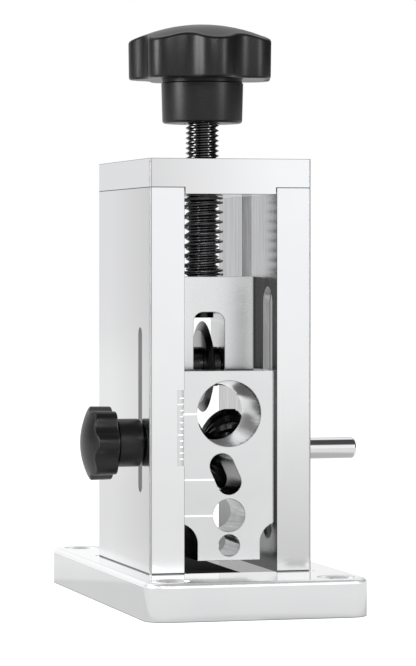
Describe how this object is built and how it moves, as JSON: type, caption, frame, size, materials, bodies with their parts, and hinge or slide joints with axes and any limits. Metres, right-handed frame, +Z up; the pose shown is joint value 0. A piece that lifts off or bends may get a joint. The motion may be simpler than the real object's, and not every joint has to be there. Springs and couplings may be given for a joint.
{
  "type": "wire stripper",
  "caption": "Drill-driven wire stripper: a two-column tower on a bench base, with a toothed feed wheel, a round blade on a screw-set block and a sliding guide block of holes.",
  "frame": {"origin": "centre of the base plate's underside", "axes": "+Z up, -Y to the front where cable goes in, +X along the drive shaft's free end"},
  "size_m": [0.0887, 0.1284, 0.1712],
  "materials": {
    "plate_aluminium": "machined plate with a fine brushed grain and polished edges",
    "black_screw": "black oxide on steel, oiled",
    "spring_steel": "black oxide spring wire",
    "bearing_bronze": "sintered bronze",
    "bright_steel": "ground and polished",
    "wheel_steel": "hardened and blackened steel",
    "blade_steel": "ground tool steel",
    "hub_black": "blackened steel",
    "knob_plastic": "moulded plastic with a fine grain",
    "insert_brass": "turned brass"
  },
  "bodies": {
    "frame": {"base_plate": "plate_aluminium", "left_column": "plate_aluminium", "right_column": "plate_aluminium", "top_cap": "plate_aluminium", "cap_screws": "black_screw", "base_screws": "black_screw", "left_bushing": "bearing_bronze", "right_bushing": "bearing_bronze", "feed_spring": "spring_steel"},
    "drive": {"drive_shaft": "bright_steel", "feed_wheel": "wheel_steel", "wheel_set_screw": "black_screw", "wheel_spacers": "bright_steel"},
    "carriage": {"blade_block": "plate_aluminium", "blade_axle": "bright_steel", "axle_set_screw": "black_screw"},
    "blade": {"blade_disc": "blade_steel", "blade_hubs": "hub_black"},
    "adjuster": {"adjusting_screw": "black_screw", "adjusting_knob": "knob_plastic", "retainer_screw": "black_screw", "thrust_washer": "bearing_bronze"},
    "guide": {"guide_block": "plate_aluminium", "lock_stud": "bright_steel"},
    "lock_ring": {"lock_washer": "hub_black"},
    "lock": {"lock_knob": "knob_plastic", "lock_insert": "insert_brass"}
  },
  "joints": [
    {"name": "drive_spin", "type": "hinge", "parent": "frame", "child": "drive", "pos_m": [-0.0014, -0.0048, 0.0447], "axis": [1, 0, 0], "continuous": true},
    {"name": "blade_feed", "type": "slide", "parent": "frame", "child": "carriage", "axis": [0, 0, 1], "range_m": [-0.004, 0.011], "deforming": ["feed_spring"]},
    {"name": "blade_spin", "type": "hinge", "parent": "carriage", "child": "blade", "pos_m": [-0.0014, -0.0048, 0.0695], "axis": [1, 0, 0], "continuous": true},
    {"name": "knob_turn", "type": "hinge", "parent": "carriage", "child": "adjuster", "pos_m": [-0.0014, -0.0048, 0.1418], "axis": [0, 0, 1], "range_deg": [-960, 2640]},
    {"name": "guide_slide", "type": "slide", "parent": "frame", "child": "guide", "axis": [0, 0, 1], "range_m": [-0.003, 0.031]},
    {"name": "lock_shift", "type": "slide", "parent": "guide", "child": "lock_ring", "axis": [-1, 0, 0], "range_m": [0, 0.00105]},
    {"name": "lock_turn", "type": "hinge", "parent": "lock_ring", "child": "lock", "pos_m": [-0.0305, -0.0256, 0.0483], "axis": [-1, 0, 0], "range_deg": [0, 541]}
  ],
  "couplings": [
    {"joint": "knob_turn", "follows": "blade_feed", "rad_per_m": 4188.8},
    {"joint": "lock_turn", "follows": "lock_shift", "rad_per_m": 8976}
  ]
}
